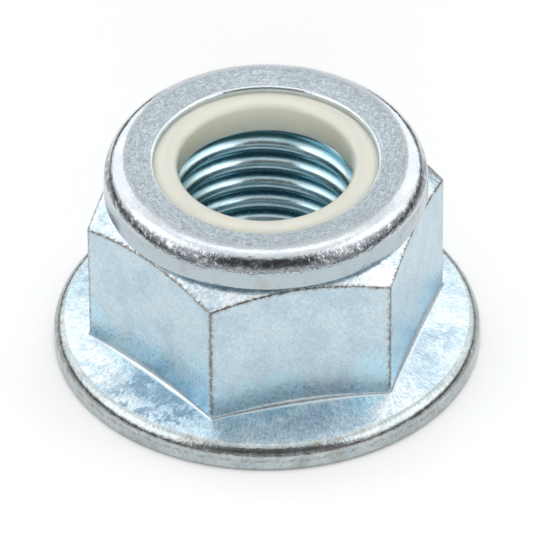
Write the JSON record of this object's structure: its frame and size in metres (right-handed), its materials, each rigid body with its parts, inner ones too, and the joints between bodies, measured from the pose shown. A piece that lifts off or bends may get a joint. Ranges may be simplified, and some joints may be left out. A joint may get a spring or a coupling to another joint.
{
  "type": "flanged nylon insert lock nut",
  "caption": "Flanged hexagon lock nut in zinc-plated steel, with a crimped collar that holds a nylon locking ring above a fine metric thread.",
  "frame": {"origin": "centre of the flat bearing face under the flange", "axes": "+Z along the thread axis from the bearing face to the insert; corners of the hexagon on +X and -X"},
  "size_m": [0.0176, 0.0176, 0.0094],
  "materials": {
    "zinc_steel": "bright zinc plate with a clear blue passivate, satin, fine grain",
    "nylon": "natural off-white nylon, smooth with a soft sheen"
  },
  "bodies": {
    "root": {"nut_body": "zinc_steel", "nylon_insert": "nylon"}
  },
  "joints": []
}
